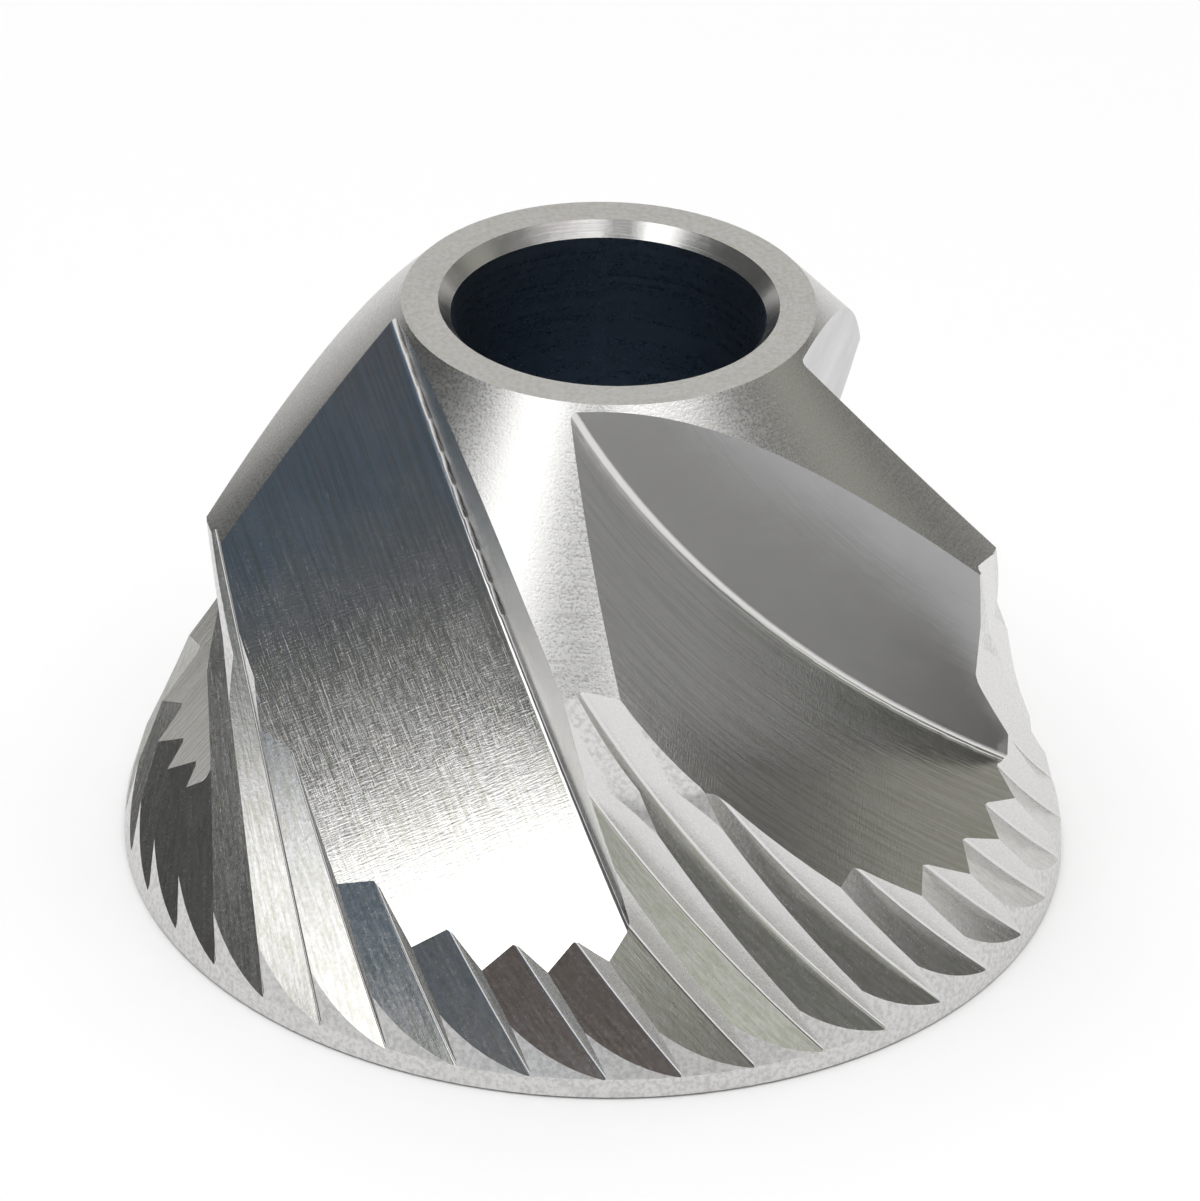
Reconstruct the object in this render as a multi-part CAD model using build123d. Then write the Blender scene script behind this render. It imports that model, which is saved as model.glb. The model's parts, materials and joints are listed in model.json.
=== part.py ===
from build123d import *
import os
from math import cos, radians, sin, tan

# Cone burr of a hand or electric coffee grinder, made of one piece of steel.
# A turned blank with a plain bore is milled with disc cutters: five coarse flutes that
# feed the beans in from the top, then forty-one fine grooves round the wide lower end.
# Forty-one is not a multiple of five, so no two flutes meet the grooves in the same way.
# Millimetres and degrees. The axis is Z, the wide end rests on Z = 0, and one flute faces -Y.

# Turned blank, from its foot to its top
base_diameter = 46.5
band_diameter = 46.36
band_height = 1.1
neck_diameter = 38.5
neck_height = 14.6
shoulder_diameter = 38.75
shoulder_height = 19.7
collar_diameter = 19.7
burr_height = 29.7
bore_diameter = 15.0
bore_mouth_width = 0.6
bore_mouth_depth = 0.7
bore_foot_break = 0.4

# Coarse flutes. Each is a flat leaning wall with a curved floor at its foot.
flute_count = 5
flute_facing = 270.0
flute_lean = 14.4
flute_top_land = 0.29
flute_cutter_radius = 49.8
flute_cutter_width = 24.0
flute_relief = 5.6
flute_foot_radius = 0.35
flute_swing = 25.6
flute_overrun = 1.7

# Fine grooves. The turn is how far the first one lies past the first flute's facing.
groove_count = 41
groove_turn = 2.36
groove_facing = -46.4
groove_lean = 9.1
groove_cutter_radius = 65.8
groove_cutter_width = 6.0
groove_relief = 21.5
groove_foot_chamfer = 0.12
groove_swing = 48.1
groove_tip_height = 1.05


def turned_blank():
    """The whole cone before milling, turned round Z, with its bore and the two edge breaks."""
    bore = bore_diameter / 2
    section = Polyline(
        (bore, bore_foot_break),
        (bore + bore_foot_break, 0),
        (base_diameter / 2, 0),
        (band_diameter / 2, band_height),
        (neck_diameter / 2, neck_height),
        (shoulder_diameter / 2, shoulder_height),
        (collar_diameter / 2, burr_height),
        (bore + bore_mouth_width, burr_height),
        (bore, burr_height - bore_mouth_depth),
        close=True,
    )
    return revolve(Plane.XZ * make_face(section), Axis.Z)


def cutter_section(radius, width, relief):
    """Half of a milling disc about Z: flat side on Z = 0 and a rim that grows by the relief."""
    rim = radius + width * tan(radians(relief))
    return make_face(Polyline((0, 0), (radius, 0), (rim, width), (0, width), close=True))


def tooth_corner(section, radius):
    """The corner of a cutter's section that cuts the foot of its wall."""
    return section.vertices().sort_by_distance((radius, 0))[0]


def flute_cutter():
    """The large disc that mills a flute, with its corner rounded."""
    section = cutter_section(flute_cutter_radius, flute_cutter_width, flute_relief)
    rounded = fillet(tooth_corner(section, flute_cutter_radius), flute_foot_radius)
    return revolve(Plane.XZ * rounded, Axis.Z)


def groove_cutter():
    """The angled disc that mills a groove, with its corner chamfered."""
    section = cutter_section(groove_cutter_radius, groove_cutter_width, groove_relief)
    blunted = chamfer(tooth_corner(section, groove_cutter_radius), groove_foot_chamfer)
    return revolve(Plane.XZ * blunted, Axis.Z)


def wall_plane(point, facing, lean):
    """The plane of a milled wall through a point, facing outwards and leaning down."""
    level = radians(facing)
    normal = Vector(cos(level), sin(level), -tan(radians(lean)))
    return Plane(origin=point, x_dir=(-sin(level), cos(level), 0), z_dir=normal)


def seat_cutter(cutter, wall, swing, reach):
    """Lay the flat side of a cutter on a wall, its centre at a reach and a swing from the point."""
    turn = radians(swing)
    return wall * Pos(reach * cos(turn), reach * sin(turn), 0) * cutter


def flute_cut():
    """One coarse flute. Its wall just misses the edge of the flat top."""
    level = radians(flute_facing)
    land = collar_diameter / 2 + flute_top_land
    top = Vector(land * cos(level), land * sin(level), burr_height)
    wall = wall_plane(top, flute_facing, flute_lean)
    return seat_cutter(flute_cutter(), wall, flute_swing, flute_cutter_radius - flute_overrun)


def groove_cut():
    """One fine groove. The corner of its cutter leaves the burr at a tip on the bottom band."""
    taper = (base_diameter - band_diameter) / 2 * groove_tip_height / band_height
    azimuth = flute_facing + groove_turn
    level = radians(azimuth)
    radius = base_diameter / 2 - taper
    tip = Vector(radius * cos(level), radius * sin(level), groove_tip_height)
    wall = wall_plane(tip, azimuth + groove_facing, groove_lean)
    return seat_cutter(groove_cutter(), wall, groove_swing, groove_cutter_radius)


def round_axis(cut, count):
    """A cut repeated evenly round the axis."""
    return [Rot(0, 0, 360 / count * index) * cut for index in range(count)]


def cone_burr():
    """The blank with its flutes and grooves milled."""
    fluted = turned_blank() - round_axis(flute_cut(), flute_count)
    return fluted - round_axis(groove_cut(), groove_count)


os.makedirs("parts", exist_ok=True)
export_step(cone_burr(), "parts/cone_burr.step")
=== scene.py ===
import json
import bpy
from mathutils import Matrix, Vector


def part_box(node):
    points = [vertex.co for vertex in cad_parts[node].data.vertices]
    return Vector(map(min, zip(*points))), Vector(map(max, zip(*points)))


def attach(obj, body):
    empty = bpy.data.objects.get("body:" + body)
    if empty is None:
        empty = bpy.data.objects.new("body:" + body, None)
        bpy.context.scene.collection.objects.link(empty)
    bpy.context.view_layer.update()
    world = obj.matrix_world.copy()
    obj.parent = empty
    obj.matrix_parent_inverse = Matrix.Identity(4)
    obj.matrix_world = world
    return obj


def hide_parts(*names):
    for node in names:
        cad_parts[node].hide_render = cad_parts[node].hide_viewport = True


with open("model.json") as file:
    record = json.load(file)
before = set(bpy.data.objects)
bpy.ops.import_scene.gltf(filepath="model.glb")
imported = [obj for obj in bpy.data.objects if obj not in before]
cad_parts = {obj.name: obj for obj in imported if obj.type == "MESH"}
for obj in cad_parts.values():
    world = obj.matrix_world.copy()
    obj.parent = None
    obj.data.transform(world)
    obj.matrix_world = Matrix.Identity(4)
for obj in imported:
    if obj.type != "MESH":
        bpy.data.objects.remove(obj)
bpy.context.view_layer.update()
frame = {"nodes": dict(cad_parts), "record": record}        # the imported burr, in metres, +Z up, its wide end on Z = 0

from copy import copy
from math import cos, pi, radians, sin, tan

import bpy
import numpy as np
from mathutils import Matrix, Vector

# Cone burr of a coffee grinder: a turned cone of bare steel with five milled flutes and
# forty-one fine grooves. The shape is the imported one. Here each face is told which tool
# made it, so that its shading is exact and its machining marks follow that tool's path.

bl_info = {
    "name": "Cone burr finish",
    "version": (1, 0, 0),
    "blender": (4, 5, 0),
    "location": "3D View > Sidebar > Cone burr",
    "description": "Finishes a turned and milled cone burr and sets up its studio",
    "category": "Object",
}

MM = 0.001
MICRON = 0.000001
NODE = "cone_burr"
BODY = "root"
PIECE = "milled_steel_burr"
MARKS = "machining"

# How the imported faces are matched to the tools
TOUCH = 0.012 * MM       # how far a corner may lie off the face that a tool left
MERGE = 0.001 * MM       # corners closer than this are one
NO_MATCH = -2.0          # less than any agreement of a face's normal with the tool's
LOST_SHARE = 0.02        # the share of faces that may fit no tool

# How the marks are laid
FLOOR_WIDTH = 24 * MM    # width of a disc's rim, wider than any floor that it cut
MARK_SHIFT = 0.37        # shift of the marks from one cut to the next, so that none repeats
GLOSS_RANGE = (0.35, 0.65)    # the part of a pattern's range that changes the gloss
TINT_RANGE = (0.42, 0.62)     # the part that changes the tint

TABLE_SIZE = 6.0
CLIP_START = 10 * MM


def mount(name):
    """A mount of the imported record, by its name."""
    return next(row for row in frame["record"]["mounts"] if row["name"] == name)


def length(name, default, description):
    """A size in millimetres that a user may change."""
    return bpy.props.FloatProperty(
        name=name, description=description, default=default * MM, unit="LENGTH", precision=5
    )


def angle(name, default, description):
    """An angle in degrees that a user may change."""
    return bpy.props.FloatProperty(
        name=name, description=description, default=radians(default), subtype="ANGLE"
    )


def linear(code):
    """An sRGB hex colour as the linear colour that a shader takes."""
    parts = [int(code[i:i + 2], 16) / 255 for i in (1, 3, 5)]
    return [c / 12.92 if c <= 0.04045 else ((c + 0.055) / 1.055) ** 2.4 for c in parts]


def colour(name, code, description):
    """A colour that a user may change, given as sRGB hex."""
    return bpy.props.FloatVectorProperty(
        name=name, description=description, default=linear(code), subtype="COLOR",
        size=3, min=0, max=1
    )


def factor(name, default, description):
    """A number from 0 to 1 that a user may change."""
    return bpy.props.FloatProperty(
        name=name, description=description, default=default, min=0, max=1, subtype="FACTOR"
    )


class BurrSizes(bpy.types.PropertyGroup):
    """Where the tools stood that made the burr."""
    base_diameter: length("Base diameter", 46.5, "Width of the foot")
    band_diameter: length("Band diameter", 46.36, "Width at the top of the plain band")
    band_height: length("Band height", 1.1, "Height of the plain band at the foot")
    neck_diameter: length("Neck diameter", 38.5, "Width where the grooved cone ends")
    neck_height: length("Neck height", 14.6, "Top of the cone that carries the grooves")
    shoulder_diameter: length("Shoulder diameter", 38.75, "Width under the upper cone")
    shoulder_height: length("Shoulder height", 19.7, "Lower edge of the upper cone")
    collar_diameter: length("Collar diameter", 19.7, "Outer edge of the flat top")
    bore_mouth_width: length("Mouth width", 0.6, "Width of the chamfer at the bore's mouth")
    bore_mouth_depth: length("Mouth depth", 0.7, "Depth of that chamfer")
    bore_foot_break: length("Foot break", 0.4, "Edge break at the foot of the bore")
    rim_break: length("Rim break", 0.12, "Worn edge round the foot of the burr")

    flute_count: bpy.props.IntProperty(
        name="Flutes", description="Coarse flutes round the burr", default=5, min=1
    )
    flute_facing: angle("Flute facing", 270.0, "Way that the first flute's wall faces")
    flute_lean: angle("Flute lean", 14.4, "How far a flute's wall leans down")
    flute_top_land: length("Flute top land", 0.29, "How far a flute's wall clears the flat top")
    flute_radius: length("Flute cutter radius", 49.8, "Radius of the disc that milled the flutes")
    flute_relief: angle("Flute relief", 5.6, "Slope of that disc's rim")
    flute_swing: angle("Flute swing", 25.6, "Way from the top of the wall to the disc's centre")
    flute_overrun: length("Flute overrun", 1.7, "How far that disc ran past the top of the wall")
    flute_corner: length("Flute foot radius", 0.35, "Rounding at the foot of a flute's wall")

    groove_count: bpy.props.IntProperty(
        name="Grooves", description="Fine grooves round the burr", default=41, min=1
    )
    groove_turn: angle("Groove turn", 2.36, "First groove's place past the first flute's facing")
    groove_facing: angle("Groove facing", -46.4, "Way that a groove's wall faces, from its tip")
    groove_lean: angle("Groove lean", 9.1, "How far a groove's wall leans down")
    groove_radius: length("Groove cutter radius", 65.8, "Radius of the disc that milled a groove")
    groove_relief: angle("Groove relief", 21.5, "Slope of that disc's rim")
    groove_swing: angle("Groove swing", 48.1, "Way from a groove's tip to the disc's centre")
    groove_tip_height: length("Groove tip height", 1.05, "Where a groove leaves the band")
    groove_corner: length("Groove foot chamfer", 0.12, "Chamfer at the foot of a groove's wall")


class SteelFinish(bpy.types.PropertyGroup):
    """Colour and gloss of the bare steel, and the paler and darker copies of it that paint light and shade."""
    steel: colour("Steel", "#C5C4C2", "Bare hardened tool steel")
    stain: colour("Stain", "#BAB9B2", "Straw tint that grinding heat and oil leave")
    # Painted shade: a darker copy of the steel, used on the flute walls
    painted_shade_steel: colour("Painted shade steel", "#A9A9AA", "The same steel made darker to paint shade on the flute walls")
    # Painted light: a paler copy of the steel, used on the neck, the band, the steep sides of the teeth and as painted
    # highlights on the feet
    painted_light_steel: colour("Painted light steel", "#DCDBDA", "The same steel made paler to paint light and highlights on it")
    # Painted shade: a darker, bluish copy of the steel, used inside the bore
    painted_bore_shade: colour("Painted bore shade", "#97A3B0", "The same steel made darker and bluish to paint shade inside the bore")
    turned_gloss: factor("Turned roughness", 0.30, "Roughness of turned faces")
    milled_gloss: factor("Milled roughness", 0.23, "Roughness of milled faces")


class StudioSetup(bpy.types.PropertyGroup):
    """Camera, lamp and the cards that the steel mirrors."""
    camera_azimuth: angle("Camera azimuth", 269.7, "Way from the burr to the camera")
    camera_elevation: angle("Camera elevation", 31.8, "Height of the camera over the burr")
    camera_roll: angle("Camera roll", 1.74, "Turn of the camera round its line of sight")
    camera_distance: length("Camera distance", 315.0, "From the point that it looks at")
    aim_height: length("Aim height", 13.0, "Height on the axis that the camera looks at")
    lens: bpy.props.FloatProperty(
        name="Lens", description="Focal length in mm", default=194.0, min=1
    )
    lamp_azimuth: angle("Lamp azimuth", 240.0, "Way that the overhead lamp is shifted")
    lamp_shift: length("Lamp shift", 40.0, "How far it is shifted off the burr's axis")
    lamp_height: length("Lamp height", 800.0, "Height of the lamp over the table")
    lamp_size: length("Lamp size", 1340.0, "Diameter of the lamp")
    lamp_power: bpy.props.FloatProperty(
        name="Lamp power", description="Power of the lamp in watts", default=8.9, min=0
    )
    sky: factor("Sky", 0.24, "Light that comes evenly from all round")
    table: colour("Table", "#F7F7F7", "Pale table top")
    front: colour("Front wall", "#7D8184", "Wall in front of the burr")
    back: colour("Back wall", "#CECDCB", "Wall behind the burr")
    left: colour("Left wall", "#575858", "Wall at the left")
    right: colour("Right wall", "#797977", "Wall at the right")
    cool_card: colour("Cool card", "#4D6377", "Dark blue card behind the camera")
    dim_card: colour("Dim card", "#6C6D6E", "Grey card above the blue one")
    warm_card: colour("Warm card", "#675E5C", "Dark card at the right of the camera")
    bright_card: colour("Bright card", "#FBFFF4", "Card that lights the right-hand teeth")
    olive_card: colour("Olive card", "#B4B4AC", "Paler parts of the wall at the right")
    window: bpy.props.FloatProperty(
        name="Window", description="Light of the low window at the left of the camera",
        default=2.2, min=0
    )


# Tools and the faces that they left

class Sweep:
    """A face of the burr: a straight line or an arc of a tool's outline, swept round an axis.

    Start and stop are the outline's ends, as a radius and a height. An arc also has a hub.
    The bends are corners of the outline where two faces share one normal.
    """

    def __init__(self, zone, frame_of, start, stop, side, hub=None):
        self.zone = zone
        self.origin, self.x, self.y, self.axis = (np.array(part) for part in frame_of)
        self.start = np.array(start)
        self.stop = np.array(stop)
        self.hub = None if hub is None else np.array(hub)
        self.reach = np.linalg.norm(self.stop - self.start)
        self.line = (self.stop - self.start) / self.reach
        self.normal = side * np.array((self.line[1], -self.line[0]))
        self.seed = 0.0
        self.bends = []

    def turned(self, amount, seed):
        """The same face at another place round the burr."""
        turn = np.array(Matrix.Rotation(amount, 3, "Z"))
        other = copy(self)
        for part in ("origin", "x", "y", "axis"):
            setattr(other, part, turn @ getattr(self, part))
        other.seed = seed
        return other

    def measure(self, points):
        """Place of points in the tool's outline, and their angle round its axis."""
        away = points - self.origin
        x, y = away @ self.x, away @ self.y
        outline = np.stack([np.hypot(x, y), away @ self.axis], axis=1)
        return outline, np.arctan2(y, x)

    def gap(self, points):
        """How far points lie from the face."""
        outline, _ = self.measure(points)
        along = (outline - self.start) @ self.line
        beyond = np.maximum(np.maximum(-along, along - self.reach), 0)
        gap = np.hypot((outline - self.start) @ self.normal, beyond)
        if self.hub is None:
            return gap
        radius = np.linalg.norm(self.start - self.hub)
        return np.minimum(gap, np.abs(np.linalg.norm(outline - self.hub, axis=1) - radius))

    def normals(self, points):
        """Exact normals of the face at some points."""
        outline, turn = self.measure(points)
        if self.hub is None:
            flat = np.broadcast_to(self.normal, outline.shape)
        else:
            flat = self.hub - outline
            flat = flat / np.maximum(np.linalg.norm(flat, axis=1), 1e-9)[:, None]
        for corner, shared in self.bends:
            at_bend = np.linalg.norm(outline - corner, axis=1) < TOUCH
            flat = np.where(at_bend[:, None], shared, flat)
        outwards = np.outer(np.cos(turn), self.x) + np.outer(np.sin(turn), self.y)
        return flat[:, :1] * outwards + flat[:, 1:] * self.axis

    def marks(self, points):
        """Way round the tool's axis and way along its outline, as the tool left its marks."""
        outline, turn = self.measure(points)
        radius = max(self.start[0], self.stop[0])
        along = (outline - self.start) @ self.line
        return np.stack([turn * radius + self.seed, along], axis=1)


def disc_faces(kind, point, facing, lean, swing, reach, radius, relief, outline):
    """The wall, the foot and the floor that one milling disc left, from its place and outline."""
    axis = Vector((cos(facing), sin(facing), -tan(lean))).normalized()
    across = Vector((-sin(facing), cos(facing), 0))
    up = axis.cross(across)
    inwards = -(cos(swing) * across + sin(swing) * up)
    place = (point - reach * inwards, inwards, axis.cross(inwards), axis)
    wall_end, floor_start, hub = outline
    floor_end = (floor_start[0] + FLOOR_WIDTH * tan(relief), floor_start[1] + FLOOR_WIDTH)
    return [
        Sweep(kind + "_wall", place, (0, 0), wall_end, -1),
        Sweep(kind + "_foot", place, wall_end, floor_start, -1, hub),
        Sweep(kind + "_floor", place, floor_start, floor_end, -1),
    ]


def flute_faces(sizes):
    """Faces of the coarse flutes. The disc's corner is rounded."""
    land = sizes.collar_diameter / 2 + sizes.flute_top_land
    facing = sizes.flute_facing
    top = Vector((land * cos(facing), land * sin(facing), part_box(NODE)[1].z))
    round_off = sizes.flute_corner
    relief = sizes.flute_relief
    hub = (sizes.flute_radius + round_off * (tan(relief) - 1 / cos(relief)), round_off)
    ends = (
        (hub[0], 0),
        (hub[0] + round_off * cos(relief), round_off * (1 - sin(relief))),
        hub,
    )
    first = disc_faces("flute", top, facing, sizes.flute_lean, sizes.flute_swing,
                       sizes.flute_radius - sizes.flute_overrun, sizes.flute_radius,
                       relief, ends)
    return repeated(first, sizes.flute_count)


def groove_faces(sizes):
    """Faces of the fine grooves. The disc's corner is chamfered, and worn round."""
    azimuth = sizes.flute_facing + sizes.groove_turn
    lift = sizes.groove_tip_height / sizes.band_height
    radius = (sizes.base_diameter * (1 - lift) + sizes.band_diameter * lift) / 2
    tip = Vector((radius * cos(azimuth), radius * sin(azimuth), sizes.groove_tip_height))
    cut_off = sizes.groove_corner
    relief = sizes.groove_relief
    ends = (
        (sizes.groove_radius - cut_off, 0),
        (sizes.groove_radius + cut_off * sin(relief), cut_off * cos(relief)),
        (sizes.groove_radius - cut_off, cut_off * tan(pi / 4 + relief / 2)),
    )
    first = disc_faces("groove", tip, azimuth + sizes.groove_facing, sizes.groove_lean,
                       sizes.groove_swing, sizes.groove_radius, sizes.groove_radius,
                       relief, ends)
    return repeated(first, sizes.groove_count)


def repeated(faces, count):
    """Some faces repeated evenly round the burr, each with marks of its own."""
    return [
        face.turned(2 * pi * index / count, MARK_SHIFT * index)
        for index in range(count) for face in faces
    ]


def turned_faces(sizes):
    """Faces that the lathe left, from the foot of the bore outwards and up."""
    bore = mount("bore")["dims"]["r_mm"] * MM
    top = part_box(NODE)[1].z
    outline = [
        ("underside", (bore, sizes.bore_foot_break)),
        ("underside", (bore + sizes.bore_foot_break, 0)),
        ("band", (sizes.base_diameter / 2, 0)),
        ("shelf", (sizes.band_diameter / 2, sizes.band_height)),
        ("shelf", (sizes.neck_diameter / 2, sizes.neck_height)),
        ("land", (sizes.shoulder_diameter / 2, sizes.shoulder_height)),
        ("top", (sizes.collar_diameter / 2, top)),
        ("mouth", (bore + sizes.bore_mouth_width, top)),
        ("bore", (bore, top - sizes.bore_mouth_depth)),
        (None, (bore, sizes.bore_foot_break)),
    ]
    place = ((0, 0, 0), (0, -1, 0), (1, 0, 0), (0, 0, 1))
    faces = [
        Sweep(zone, place, start, stop, 1)
        for (zone, start), (_, stop) in zip(outline, outline[1:])
    ]
    rim = sizes.base_diameter / 2
    faces.append(Sweep("band", place, (rim - sizes.rim_break, 0), (rim, sizes.rim_break), 1))
    under, over = [face for face in faces if face.zone == "shelf"]
    shared = under.normal + over.normal
    under.bends = over.bends = [(over.start, shared / np.linalg.norm(shared))]
    return faces


class FaceReader:
    """Finds the tool that left each face of the burr, and takes its shading and its marks."""

    def __init__(self, mesh):
        self.mesh = mesh
        count = len(mesh.vertices)
        points = np.zeros(count * 3)
        mesh.vertices.foreach_get("co", points)
        vertex = np.zeros(len(mesh.loops), int)
        mesh.loops.foreach_get("vertex_index", vertex)
        totals = np.zeros(len(mesh.polygons), int)
        mesh.polygons.foreach_get("loop_total", totals)
        way = np.zeros(len(totals) * 3)
        mesh.polygons.foreach_get("normal", way)
        middle = np.zeros(len(totals) * 3)
        mesh.polygons.foreach_get("center", middle)
        self.corners = points.reshape(-1, 3)[vertex]
        self.face = np.repeat(np.arange(len(totals)), totals)
        self.starts = np.concatenate([[0], np.cumsum(totals)[:-1]])
        self.way = way.reshape(-1, 3)
        self.middle = middle.reshape(-1, 3)
        self.zone = np.full(len(totals), "", dtype="U16")
        self.match = np.full(len(totals), NO_MATCH)
        self.shading = self.way[self.face]
        self.marks = np.zeros((len(self.corners), 2))

    def read(self, sweep):
        """Give a sweep the faces whose corners all lie on it, where it fits them best."""
        gap = np.maximum.reduceat(sweep.gap(self.corners), self.starts)
        match = (self.way * sweep.normals(self.middle)).sum(axis=1)
        match = match - gap / MM
        chosen = (gap < TOUCH) & (match > self.match)
        self.zone[chosen] = sweep.zone
        self.match[chosen] = match[chosen]
        corners = chosen[self.face]
        self.shading[corners] = sweep.normals(self.corners[corners])
        self.marks[corners] = sweep.marks(self.corners[corners])

    def write(self, zones):
        """Give the mesh its zones, its shading and the map of machining marks."""
        lost = int((self.zone == "").sum())
        if lost > LOST_SHARE * len(self.zone):
            raise RuntimeError(f"{lost} faces of the burr fit no tool; check the sizes")
        # A sliver that fits none keeps its own normal
        self.zone[self.zone == ""] = "groove_foot"
        order = {name: index for index, name in enumerate(zones)}
        places = np.array([order[name] for name in self.zone], dtype=np.int32)
        self.mesh.polygons.foreach_set("material_index", places)
        self.mesh.polygons.foreach_set("use_smooth", np.ones(len(places), bool))
        layer = self.mesh.uv_layers.new(name=MARKS)
        layer.data.foreach_set("uv", self.marks.astype(np.float32).ravel())
        self.mesh.normals_split_custom_set(self.shading.tolist())
        self.mesh.update()


# Materials

def add(tree, kind, inputs=None, **settings):
    """Add a node: its settings by name, and its inputs as values or as sockets to link."""
    node = tree.nodes.new(kind)
    for name, value in settings.items():
        setattr(node, name, value)
    for name, value in (inputs or {}).items():
        if isinstance(value, bpy.types.NodeSocket):
            tree.links.new(value, node.inputs[name])
        else:
            node.inputs[name].default_value = value
    return node


def new_material(name):
    """An empty material with its shader, ready for its pattern."""
    material = bpy.data.materials.new(name)
    material.use_nodes = True
    tree = material.node_tree
    return material, tree, tree.nodes["Principled BSDF"]


def pattern(tree, along, across):
    """Marks with a length along the tool's path and a spacing, or even grain if both agree."""
    if along == across:
        place = add(tree, "ShaderNodeTexCoord").outputs["Object"]
    else:
        place = add(tree, "ShaderNodeUVMap", uv_map=MARKS).outputs["UV"]
    size = add(tree, "ShaderNodeMapping", {
        "Vector": place, "Scale": (1 / (along * MM), 1 / (across * MM), 1 / (along * MM)),
    })
    noise = add(tree, "ShaderNodeTexNoise", {
        "Vector": size.outputs["Vector"], "Scale": 1.0, "Detail": 3.0, "Roughness": 0.6,
    }, noise_dimensions="3D" if along == across else "2D")
    return noise.outputs["Fac"]


def bare_steel(name, steel, roughness, vary, marks, tint=None, patches=()):
    """Bare steel with tool marks, each given as a length and a spacing in mm and microns deep.

    The marks set the relief and vary the gloss. A tint shows in patches, whose length and
    spacing are given in the same way.
    """
    material, tree, shader = new_material(name)
    height = 0.0
    depth = sum(row[2] for row in marks)
    for along, across, microns in marks:
        height = add(tree, "ShaderNodeMath", {
            0: pattern(tree, along, across), 1: microns, 2: height,
        }, operation="MULTIPLY_ADD").outputs[0]
    rough = add(tree, "ShaderNodeMapRange", {
        "Value": height, "From Min": GLOSS_RANGE[0] * depth, "From Max": GLOSS_RANGE[1] * depth,
        "To Min": roughness - vary, "To Max": roughness + vary,
    })
    relief = add(tree, "ShaderNodeBump", {"Height": height, "Strength": 1.0, "Distance": MICRON})
    tree.links.new(rough.outputs["Result"], shader.inputs["Roughness"])
    tree.links.new(relief.outputs["Normal"], shader.inputs["Normal"])
    shader.inputs["Metallic"].default_value = 1.0
    shader.inputs["Base Color"].default_value = (*steel, 1)
    if tint is not None:
        patch = add(tree, "ShaderNodeMapRange", {
            "Value": pattern(tree, *patches),
            "From Min": TINT_RANGE[0], "From Max": TINT_RANGE[1],
        })
        shade = add(tree, "ShaderNodeMix", {
            0: patch.outputs["Result"], 6: (*steel, 1), 7: (*tint, 1),
        }, data_type="RGBA")
        tree.links.new(shade.outputs[2], shader.inputs["Base Color"])
    return material


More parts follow.
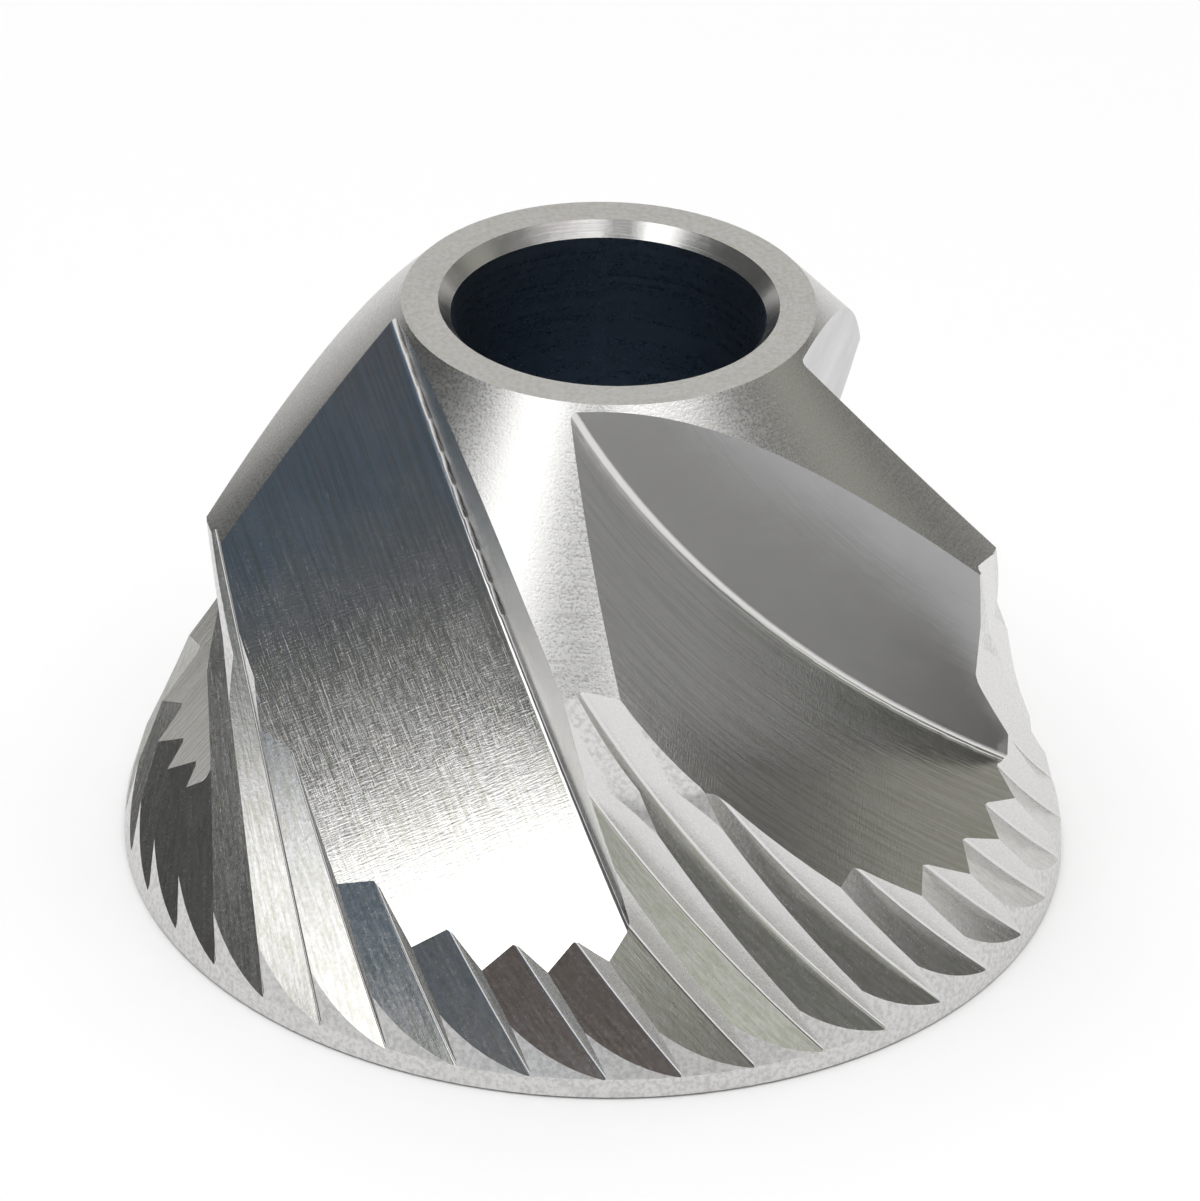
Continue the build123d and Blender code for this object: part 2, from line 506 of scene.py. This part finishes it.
def steel_materials(finish):
    """The finish of each zone of the burr. All are one steel; the tool's marks make the difference, with paler and
    darker copies of the steel that paint light and shade.

    Real tool marks are 0.02 to 0.1 mm apart. The finest are drawn at 0.1 mm, so that they
    show in the picture.
    """
    turned = finish.turned_gloss
    milled = finish.milled_gloss
    return {
        # Faced and lapped: an even grey with fine grain
        "top": bare_steel("lapped_steel_top", finish.steel, turned + 0.06, 0.06, [
            (0.14, 0.14, 6.0), (5.0, 0.12, 3.0),
        ], finish.stain, (0.25, 0.25)),
        # Turned chamfer, left bright by the tip of the tool
        "mouth": bare_steel("turned_steel_mouth", finish.steel, turned - 0.06, 0.04, [
            (12.0, 0.1, 2.0), (1.2, 1.2, 5.0),
        ]),
        # Bored hole: dark and bluish from painted shade in its darker copy of the steel, with faint rings
        "bore": bare_steel("bored_steel", finish.painted_bore_shade, turned, 0.05, [
            (14.0, 0.3, 1.0), (0.25, 0.25, 1.0),
        ]),
        # Turned cone, tumbled after hardening, which breaks the turned lines up into grain
        "land": bare_steel("tumbled_steel_cone", finish.steel, turned - 0.02, 0.06, [
            (0.13, 0.13, 6.0), (3.0, 0.14, 2.0),
        ]),
        # Turned neck: the same as the cone, but more even, and paler from painted light in its paler copy of the steel
        "shelf": bare_steel("tumbled_steel_neck", finish.painted_light_steel, turned + 0.03, 0.04, [
            (0.2, 0.2, 4.0), (4.0, 0.2, 3.0),
        ], finish.steel, (0.25, 0.25)),
        # Turned band at the foot: pale from painted light in its paler copy of the steel, with fine speckle
        "band": bare_steel("tumbled_steel_band", finish.painted_light_steel, turned + 0.08, 0.04, [
            (0.16, 0.16, 5.0), (6.0, 0.12, 2.0),
        ], finish.steel, (0.22, 0.22)),
        # Ground flat for its seat: long straight-looking arcs
        "underside": bare_steel("ground_steel_underside", finish.steel, turned, 0.05, [
            (10.0, 0.2, 4.0),
        ]),
        # Face-milled wall: smooth, with faint arcs of the disc's side; it is dark from painted shade in its darker copy
        # of the steel
        "flute_wall": bare_steel("milled_steel_wall", finish.painted_shade_steel, milled, 0.04, [
            (12.0, 0.35, 2.0), (5.0, 5.0, 14.0),
        ]),
        # Floor under the disc's rim: long cutting lines crossed by short chatter marks
        "flute_floor": bare_steel("milled_steel_floor", finish.steel, milled - 0.08, 0.05, [
            (3.5, 0.10, 10.0), (0.10, 0.6, 8.0), (4.0, 4.0, 28.0),
        ], finish.stain, (7.0, 0.2)),
        # Foot under the disc's corner: burnished smoother, with a highlight painted by its paler copy of the steel, so
        # it draws a bright line
        "flute_foot": bare_steel("burnished_steel_foot_painted_highlight", finish.painted_light_steel, milled - 0.04, 0.03, [
            (3.0, 0.2, 2.0),
        ]),
        # Steep side of a tooth: pale from painted light in its paler copy of the steel, and softly grained by the
        # tumbling
        "groove_wall": bare_steel("milled_groove_wall", finish.painted_light_steel, milled + 0.05, 0.04, [
            (0.2, 0.2, 4.0), (4.0, 0.2, 3.0),
        ]),
        # Wide side of a tooth: it mirrors its surroundings, streaked by heat and oil
        "groove_floor": bare_steel("milled_groove_floor", finish.steel, milled, 0.05, [
            (0.2, 0.2, 4.0), (4.0, 0.15, 3.0),
        ], finish.stain, (1.5, 0.25)),
        # Foot of a groove: burnished by the worn corner of its disc, with a highlight painted by its paler copy of the
        # steel, so it draws a bright line
        "groove_foot": bare_steel("burnished_groove_foot_painted_highlight", finish.painted_light_steel, milled - 0.06, 0.03, [
            (3.0, 0.2, 1.0),
        ]),
    }


class BURR_OT_finish(bpy.types.Operator):
    """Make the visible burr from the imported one, with its machining marks"""
    bl_idname = "burr.finish"
    bl_label = "Finish the burr"

    def execute(self, context):
        piece = self.copy_node(context)
        sizes = context.scene.burr_sizes
        reader = FaceReader(piece.data)
        for sweep in turned_faces(sizes) + flute_faces(sizes) + groove_faces(sizes):
            reader.read(sweep)
        materials = steel_materials(context.scene.steel_finish)
        for material in materials.values():
            piece.data.materials.append(material)
        reader.write(list(materials))
        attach(piece, BODY)
        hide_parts(NODE)
        return {"FINISHED"}

    def copy_node(self, context):
        """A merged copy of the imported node, as a new piece."""
        bpy.ops.object.select_all(action="DESELECT")
        piece = bpy.data.objects.new(PIECE, frame["nodes"][NODE].data.copy())
        piece.data.name = PIECE
        context.scene.collection.objects.link(piece)
        context.view_layer.objects.active = piece
        piece.select_set(True)
        piece.data.materials.clear()
        while piece.data.uv_layers:
            piece.data.uv_layers.remove(piece.data.uv_layers[0])
        bpy.ops.object.mode_set(mode="EDIT")
        bpy.ops.mesh.customdata_custom_splitnormals_clear()
        bpy.ops.mesh.select_all(action="SELECT")
        bpy.ops.mesh.remove_doubles(threshold=MERGE)
        bpy.ops.mesh.select_all(action="DESELECT")
        bpy.ops.object.mode_set(mode="OBJECT")
        self.break_rim(context, piece.data)
        return piece

    def break_rim(self, context, mesh):
        """Break the sharp edge round the foot of the burr."""
        sizes = context.scene.burr_sizes
        rim = [
            vertex.co.z < TOUCH and vertex.co.xy.length > sizes.base_diameter / 2 - 2 * TOUCH
            for vertex in mesh.vertices
        ]
        edges = [all(rim[index] for index in edge.vertices) for edge in mesh.edges]
        if not any(edges):
            raise RuntimeError("the foot of the burr has no rim")
        mesh.vertices.foreach_set("select", rim)
        mesh.edges.foreach_set("select", edges)
        bpy.ops.object.mode_set(mode="EDIT")
        bpy.ops.mesh.select_mode(type="EDGE")
        bpy.ops.mesh.bevel(offset=sizes.rim_break, segments=1, clamp_overlap=False)
        bpy.ops.object.mode_set(mode="OBJECT")


# Studio

def direction(azimuth, elevation):
    """A unit vector at an azimuth and an elevation."""
    return Vector((
        cos(azimuth) * cos(elevation), sin(azimuth) * cos(elevation), sin(elevation)
    ))


class BURR_OT_studio(bpy.types.Operator):
    """Set up the table, the cards, the lamp and the camera"""
    bl_idname = "burr.studio"
    bl_label = "Set up the studio"

    def execute(self, context):
        studio = context.scene.studio_setup
        self.table(studio)
        # Azimuths are in degrees, and sizes and heights in millimetres
        for name, shade, azimuth, distance, width, low, high in (
            ("front_wall", studio.front, 270, 700, 1400, 0, 1400),
            ("back_wall", studio.back, 90, 700, 1400, 0, 1400),
            ("left_wall", studio.left, 180, 700, 1400, 0, 1400),
            ("right_wall", studio.right, 0, 700, 1400, 0, 1400),
            ("cool_card", studio.cool_card, 260, 440, 252, 10, 330),
            ("dim_card", studio.dim_card, 260, 440, 252, 330, 960),
            ("warm_card", studio.warm_card, 299, 450, 340, 10, 600),
            ("bright_card", studio.bright_card, 336, 500, 158, 20, 330),
            ("window", [studio.window] * 3, 231, 430, 235, 185, 500),
            ("shelf_card", studio.olive_card, 30, 600, 560, 250, 900),
            ("door_card", studio.olive_card, 38, 590, 26, 0, 260),
            ("post_card", studio.warm_card, 34, 590, 20, 0, 600),
        ):
            self.card(name, shade, radians(azimuth), *(
                size * MM for size in (distance, width, low, high)
            ))
        self.lamp(context, studio)
        self.sky(context, studio)
        self.camera(context, studio)
        context.scene.view_settings.view_transform = "Standard"
        return {"FINISHED"}

    def table(self, studio):
        """A pale table top that takes the burr's shadow."""
        bpy.ops.object.select_all(action="DESELECT")
        bpy.ops.mesh.primitive_plane_add(size=TABLE_SIZE, location=(0, 0, 0))
        table = bpy.context.active_object
        table.name = "pale_table"
        # Matt painted board: an even pale ground
        material, _, shader = new_material("painted_table_top")
        shader.inputs["Base Color"].default_value = (*studio.table, 1)
        shader.inputs["Roughness"].default_value = 0.9
        table.data.materials.append(material)

    def card(self, name, shade, azimuth, distance, width, low, high):
        """An upright card that faces the burr and shows only in the steel's reflections."""
        bpy.ops.object.select_all(action="DESELECT")
        place = direction(azimuth, 0) * distance + Vector((0, 0, (low + high) / 2))
        bpy.ops.mesh.primitive_plane_add(
            size=1.0, location=place, rotation=(pi / 2, 0, azimuth + pi / 2)
        )
        card = bpy.context.active_object
        card.name = name
        card.scale = (width, high - low, 1)
        for rays in ("camera", "diffuse", "shadow", "transmission", "volume_scatter"):
            setattr(card, "visible_" + rays, False)
        # An even shade of its own, whatever light falls on it
        material, _, shader = new_material("matt_" + name)
        shader.inputs["Base Color"].default_value = (0, 0, 0, 1)
        shader.inputs["Roughness"].default_value = 1.0
        shader.inputs["Specular IOR Level"].default_value = 0.0
        level = max(1, *shade)
        shader.inputs["Emission Color"].default_value = (*(part / level for part in shade), 1)
        shader.inputs["Emission Strength"].default_value = level
        card.data.materials.append(material)

    def lamp(self, context, studio):
        """One wide round lamp overhead, shifted to the front left."""
        light = bpy.data.lights.new("overhead_lamp", "AREA")
        light.shape = "DISK"
        light.size = studio.lamp_size
        light.energy = studio.lamp_power
        lamp = bpy.data.objects.new("overhead_lamp", light)
        context.scene.collection.objects.link(lamp)
        lamp.location = direction(studio.lamp_azimuth, 0) * studio.lamp_shift
        lamp.location.z = studio.lamp_height

    def sky(self, context, studio):
        """White behind the burr, and a little even light from all round."""
        world = bpy.data.worlds.new("white_studio")
        context.scene.world = world
        world.use_nodes = True
        tree = world.node_tree
        tree.nodes.clear()
        rays = add(tree, "ShaderNodeLightPath").outputs
        seen = 0.0
        for name in ("Is Camera Ray", "Is Glossy Ray", "Is Transmission Ray"):
            seen = add(tree, "ShaderNodeMath", {0: rays[name], 1: seen},
                       operation="MAXIMUM").outputs[0]
        level = add(tree, "ShaderNodeMapRange", {
            "Value": seen, "To Min": studio.sky, "To Max": 1.0,
        })
        background = add(tree, "ShaderNodeBackground", {
            "Color": (1, 1, 1, 1), "Strength": level.outputs["Result"],
        })
        add(tree, "ShaderNodeOutputWorld", {"Surface": background.outputs["Background"]})

    def camera(self, context, studio):
        """The camera, at the photograph's angle and distance."""
        data = bpy.data.cameras.new("camera")
        data.lens = studio.lens
        data.clip_start = CLIP_START
        camera = bpy.data.objects.new("camera", data)
        context.scene.collection.objects.link(camera)
        towards = direction(studio.camera_azimuth, studio.camera_elevation)
        aim = Vector((0, 0, studio.aim_height))
        camera.location = aim + towards * studio.camera_distance
        turn = towards.to_track_quat("Z", "Y").to_matrix()
        camera.rotation_euler = (turn @ Matrix.Rotation(studio.camera_roll, 3, "Z")).to_euler()
        context.scene.camera = camera


class BURR_PT_sidebar(bpy.types.Panel):
    """Sizes, finish and studio of the cone burr"""
    bl_label = "Cone burr"
    bl_idname = "BURR_PT_sidebar"
    bl_space_type = "VIEW_3D"
    bl_region_type = "UI"
    bl_category = "Cone burr"

    def draw(self, context):
        scene = context.scene
        for title, group, operator in (
            ("Tools", scene.burr_sizes, None),
            ("Steel", scene.steel_finish, BURR_OT_finish.bl_idname),
            ("Studio", scene.studio_setup, BURR_OT_studio.bl_idname),
        ):
            box = self.layout.box()
            box.label(text=title)
            for name in group.__annotations__:
                box.prop(group, name)
            if operator:
                box.operator(operator)


CLASSES = (BurrSizes, SteelFinish, StudioSetup, BURR_OT_finish, BURR_OT_studio, BURR_PT_sidebar)
GROUPS = {"burr_sizes": BurrSizes, "steel_finish": SteelFinish, "studio_setup": StudioSetup}


def register():
    """Make the add-on's classes and settings known."""
    for item in CLASSES:
        bpy.utils.register_class(item)
    for name, group in GROUPS.items():
        setattr(bpy.types.Scene, name, bpy.props.PointerProperty(type=group))


def unregister():
    """Take them away again."""
    for name in GROUPS:
        delattr(bpy.types.Scene, name)
    for item in reversed(CLASSES):
        bpy.utils.unregister_class(item)


def main():
    """Finish the burr and set up the studio."""
    register()
    bpy.ops.burr.finish()
    bpy.ops.burr.studio()


if __name__ == "__main__":
    main()
